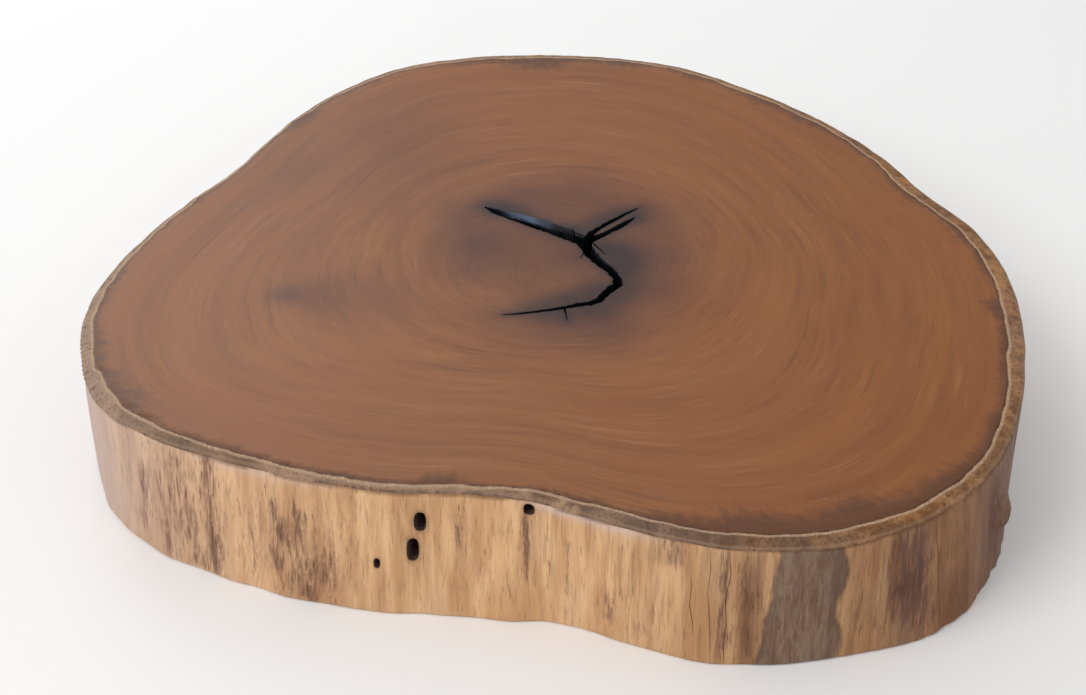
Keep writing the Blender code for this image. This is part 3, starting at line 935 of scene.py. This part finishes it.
# Painted light: the right of the face is made more yellow, the tone it has away from the pale sheen that the
# light behind lays on its left.
colour = stain(tree, colour, ("#FFF4C6", 1.0, (rightwards, 0.0, 0.34)), blend_type="MULTIPLY")
colour = stain(
    tree, colour,
    # Dark and pale ring lines, clear only in places.
    ("#55321F", 0.36, (lines, 0.59, 0.69), (clear, 0.44, 0.60)),
    ("#B98657", 0.27, (lines, 0.40, 0.28), (clear, 0.44, 0.60)),
    ("#5A3420", 0.20, (hair, 0.50, 0.66), (clear_hair, 0.36, 0.64)),
    ("#B58459", 0.11, (hair, 0.48, 0.32), (clear_hair, 0.36, 0.64)),
    ("#4A2A1A", 0.18, (pores, 0.56, 0.72)),
    # Stains of the heart, of the heartwood's edge, and right beside the crack.
    ("#42262A", 0.90, (purple_stain,), (rings, 0.0, 0.50)),
    ("#38221C", 0.62, (ragged, 0.68, 1.26)),
    ("#14171E", 0.92, (black_stain,)),
)
gloss = add_node(tree, "Math", {0: rings, 1: 0.12, 2: 0.36}, operation="MULTIPLY_ADD")
bump = add_node(tree, "Bump", {"Strength": 0.12, "Distance": 0.0004, "Height": hair})
feed(tree, shader, {"Base Color": colour, "Normal": bump, "Roughness": gloss, "Specular IOR Level": 0.30})


# Sanded sapwood rim: paler and softer than the heartwood, so the sander rounded it. Dust and oil
# left it blotched grey-brown. A bright band runs along the crisp dark heartwood line, partly paler
# wood and partly painted highlight, with pale flecks on it that are painted highlights, and a narrow
# painted highlight runs along the rounded outer edge. Its flecks and saw scratches are drawn 2 to 3
# mm wide, coarser than real ones, so that they show.

tree, shader, place, aged_and_shade, bleach, rim_stain, inner, outer = start_material(
    cut_mesh, "sanded_sapwood_rim", "aged_and_shade", "bleach", "rim_stain", "from_heartwood_line", "from_outer_edge"
)
blotch = grain(tree, place, 16.67, 4.0, 0.65)
fleck = grain(tree, place, 3.333, 4.0, 0.7)
smudge = grain(tree, place, 50.0, 3.0, 0.6)
crumb = grain(tree, place, 2.381, 2.0, 0.6)
hatch = grain(tree, ring_place(tree, place, 0.40, 0.06), 2.174, 2.0, 0.6)
# The smudges are weaker, and the heartwood line is darker, where the rim turns tan under the same mark of
# ageing and painted shade that darkens the side's right end.
smudge_cover = add_node(tree, "Math", {0: aged_and_shade, 1: -0.35, 2: 0.60}, operation="MULTIPLY_ADD")
line_cover = add_node(tree, "Math", {0: aged_and_shade, 1: 0.32, 2: 0.50}, operation="MULTIPLY_ADD")
not_aged_or_shaded = add_node(tree, "Math", {0: 1.0, 1: aged_and_shade}, operation="SUBTRACT")
dusty = add_node(tree, "Math", {0: blotch, 1: 1.2, 2: rim_stain}, operation="MULTIPLY_ADD")
# Saw marks across the outer half of the rim, strongest at the bleached left end.
sawn = shows(tree, 0.43, (bleach, 0.50, 0.95), (outer, 0.0075, 0.0030))
hatch_cover = add_node(tree, "Math", {0: sawn, 1: 0.12}, operation="ADD")
# The bright band and the dark line wander with the blotches by a few millimetres.
band = add_node(tree, "Math", {0: blotch, 1: 0.0040, 2: inner}, operation="MULTIPLY_ADD")
line = add_node(tree, "Math", {0: blotch, 1: 0.0016, 2: inner}, operation="MULTIPLY_ADD")
tan = stain(tree, "#7A4F2C", ("#AB7A4C", 1.0, (blotch, 0.36, 0.64)))
colour = stain(
    tree, "#6E513D",
    ("#A88468", 1.0, (blotch, 0.38, 0.62)),
    (tan, 0.90, (aged_and_shade, 0.0, 0.80)),
    ("#6A564A", smudge_cover, (smudge, 0.44, 0.60)),
    ("#B99F8C", 0.58, (bleach,), (not_aged_or_shaded,)),
    ("#54443A", 0.62, (dusty, 0.85, 1.35)),
    ("#4A352B", hatch_cover, (hatch, 0.52, 0.66)),
    ("#453022", 0.70, (fleck, 0.54, 0.66)),
    # The bright band: partly paler wood, partly painted highlight; its pale flecks are painted highlights.
    ("#BA9A80", 0.70, (band, 0.0024, 0.0032), (band, 0.0062, 0.0044)),
    ("#CDAE8E", 0.55, (band, 0.0024, 0.0032), (band, 0.0062, 0.0044), (crumb, 0.52, 0.62)),
    ("#40291F", line_cover, (line, 0.0022, 0.0010)),
    # Painted highlight along the rounded outer edge of the rim.
    ("#A58770", 0.35, (outer, 0.0002, 0.0009), (outer, 0.0030, 0.0016)),
)
relief = add_node(tree, "Math", {0: blotch, 1: fleck}, operation="ADD")
bump = add_node(tree, "Bump", {"Strength": 0.9, "Distance": 0.0020, "Height": relief})
feed(tree, shader, {"Base Color": colour, "Normal": bump, "Roughness": 0.66, "Specular IOR Level": 0.18})


# Peeled side: dry sapwood, bare since the bark came off. Upright fibres in tan and orange, bleached
# pink-grey at the left, weathered grey-brown in patches, with dark mould in short upright flecks.
# A painted highlight runs along its top under the rim, and its right end is darkened partly by age
# and partly by painted shade. Real fibres are finer than the render can show, so they are drawn 2 to 3 mm
# wide.

tree, shader, place, bleach, painted_lip_highlight, aged_and_shade, weathered, mottle, damp_stain, bore_shade = start_material(
    cut_mesh, "peeled_sapwood",
    "bleach", "painted_lip_highlight", "aged_and_shade", "weathered", "mottle", "damp_stain", "bore_shade",
)
fibre = grain(tree, place, 3.333, 3.0, 0.65, (1, 1, 0.05))
streak = grain(tree, place, 13.33, 3.0, 0.6, (1, 1, 0.08))
stripe = grain(tree, place, 58.82, 2.0, 0.5, (1, 1, 0.35))
speck = grain(tree, place, 2.174, 3.0, 0.7, (1, 1, 0.10))
curl = grain(tree, place, 5.0, 4.0, 0.7, (1, 1, 0.22), 0.4)
level = add_node(tree, "SeparateXYZ", {0: place}, 2)
colour = stain(
    tree, "#C69564",
    ("#E8BA88", 1.0, (streak, 0.34, 0.66)),
    ("#C18B58", 0.45, (stripe, 0.50, 0.66)),
    ("#DFBD96", 0.35, (stripe, 0.46, 0.32)),
    ("#95693F", 0.42, (fibre, 0.50, 0.66)),
    ("#BBA9A5", 0.86, (bleach,)),
    # Painted highlight along the top of the side, just under the rim.
    ("#CDBCBA", 0.75, (painted_lip_highlight,)),
)
# The right end is darkened and reddened: partly aged wood, partly painted shade.
colour = stain(tree, colour, ("#A99893", 1.0, (aged_and_shade,)), blend_type="MULTIPLY")
# Weathered wood, and mould as blotches and as short upright dashes.
veins = add_node(tree, "Mix", {0: 0.55, 2: curl, 3: streak})
grey_wood = stain(tree, "#85705F", ("#5A463B", 1.0, (veins, 0.38, 0.64)))
weather = add_node(tree, "Math", {0: curl, 1: 0.8, 2: weathered}, operation="MULTIPLY_ADD")
mould = add_node(tree, "Math", {0: mottle, 1: 0.38, 2: curl}, operation="MULTIPLY_ADD")
dash = add_node(tree, "Math", {0: mottle, 1: 0.20, 2: speck}, operation="MULTIPLY_ADD")
colour = stain(
    tree, colour,
    (grey_wood, 0.88, (weather, 0.60, 1.20)),
    ("#744F43", 0.60, (mould, 0.58, 0.92)),
    ("#613F36", 0.60, (dash, 0.60, 0.76)),
)
damp = add_node(tree, "Math", {0: curl, 1: 0.35, 2: damp_stain}, operation="MULTIPLY_ADD")
colour = stain(tree, colour, ("#A89A9A", 1.0, (damp, 0.195, 0.975)), blend_type="MULTIPLY")
colour = stain(
    tree, colour,
    # The shadowed seam under the rim, and the rims of the bores.
    ("#54392B", 0.55, (level, 0.1100, 0.1132), (stripe, 0.44, 0.56)),
    ("#4A332A", 1.0, (bore_shade,)),
)
relief = add_node(tree, "Math", {0: speck, 1: 0.5, 2: fibre}, operation="MULTIPLY_ADD")
bump = add_node(tree, "Bump", {"Strength": 0.7, "Distance": 0.0014, "Height": relief})
feed(tree, shader, {"Base Color": colour, "Normal": bump, "Roughness": 0.68, "Specular IOR Level": 0.25})


# Sawn underside: the same wood straight off the saw, matt, with the blade's parallel scratches.

tree, shader, place, inner = start_material(cut_mesh, "sawn_underside", "from_heartwood_line")
scratch = grain(tree, place, 4.167, 2.0, 0.6, (1, 0.03, 1))
rings = grain(tree, ring_place(tree, place, 0.022), RING_SPACING_MM, 3.0, 0.55)
colour = stain(
    tree, "#76543C",
    ("#946C4C", 1.0, (rings, 0.35, 0.65)),
    ("#B08C6A", 0.45, (scratch, 0.50, 0.66)),
    ("#B89672", 1.0, (inner, -0.001, 0.001)),
)
bump = add_node(tree, "Bump", {"Strength": 0.5, "Distance": 0.0008, "Height": scratch})
feed(tree, shader, {"Base Color": colour, "Normal": bump, "Roughness": 0.75})


# Crack walls: torn heartwood, stained blue-black where iron and oil met. Near the face they take a slightly
# lighter blue-black, with a painted highlight in pale blue-grey on the left arm's broken facet.

tree, shader, place, painted_facet_highlight = start_material(cut_mesh, "stained_crack_wall", "painted_facet_highlight")
tears = grain(tree, place, 3.333, 3.0, 0.6, (1, 1, 0.10))
level = add_node(tree, "SeparateXYZ", {0: place}, 2)
# The pale blue-grey here is a painted highlight on the broken facet, not a colour of the wood.
facet = stain(tree, "#0E1117", ("#5A647C", 1.0, (painted_facet_highlight,)))
colour = stain(
    tree, "#040507",
    ("#11141A", 1.0, (tears, 0.40, 0.66)),
    (facet, 1.0, (level, THICKNESS - 0.0060, THICKNESS - 0.0040)),
)
bump = add_node(tree, "Bump", {"Strength": 0.5, "Distance": 0.001, "Height": tears})
feed(tree, shader, {"Base Color": colour, "Normal": bump, "Roughness": 0.45, "Specular IOR Level": 0.15})


# Bores and drying checks: raw dark wood, dusty and matt.

tree, shader, place = start_material(cut_mesh, "dark_bored_wood")
dust = grain(tree, place, 2.5, 2.0, 0.6)
colour = stain(tree, "#3A2422", ("#5C4238", 1.0, (dust, 0.35, 0.70)))
feed(tree, shader, {"Base Color": colour, "Roughness": 0.85})

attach(trunk, "root")
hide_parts("wood_slice")


# The studio: a pale seamless floor, a broad key light from the front left, and a soft one behind
# on the left, which lays the pale sheen on that side of the polished face.

FLOOR_SIZE = 14.0
bm = bmesh.new()
bmesh.ops.create_grid(bm, x_segments=2, y_segments=2, size=FLOOR_SIZE / 2)
floor = finish_object("studio_floor", bm)
tree, shader, place = start_material(floor.data, "pale_studio_floor")
colour = stain(tree, "#F4F4F4", ("#F7F7F7", 1.0, (grain(tree, place, 666.7),)))
feed(tree, shader, {"Base Color": colour, "Roughness": 0.9})


def add_light(name, spot, aim, size, power):
    """A square soft light at a spot, turned to its aim."""
    lamp = bpy.data.lights.new(name, "AREA")
    lamp.shape = "SQUARE"
    lamp.size = size
    lamp.energy = power
    held = bpy.data.objects.new(name, lamp)
    held.location = spot
    held.rotation_euler = (Vector(aim) - Vector(spot)).to_track_quat("-Z", "Y").to_euler()
    bpy.context.scene.collection.objects.link(held)


add_light("key", (-2.5, -2.0, 3.3), (0, 0, 0.06), 2.4, 74)
add_light("back_left", (-0.95, 1.85, 1.35), (-0.15, 0, 0.06), 1.3, 10)
world = bpy.data.worlds.new("studio")
world.use_nodes = True
feed(world.node_tree, world.node_tree.nodes["Background"], {"Color": "#FFFFFF", "Strength": 0.68})
bpy.context.scene.world = world
bpy.context.scene.view_settings.view_transform = "Standard"

camera_data = bpy.data.cameras.new("camera")
camera_data.lens = 80
camera_data.sensor_width = 36
camera = bpy.data.objects.new("camera", camera_data)
camera.location = (-0.0079, -1.8079, 1.2475)
camera.rotation_euler = (radians(56), 0, 0)
bpy.context.scene.collection.objects.link(camera)
bpy.context.scene.camera = camera
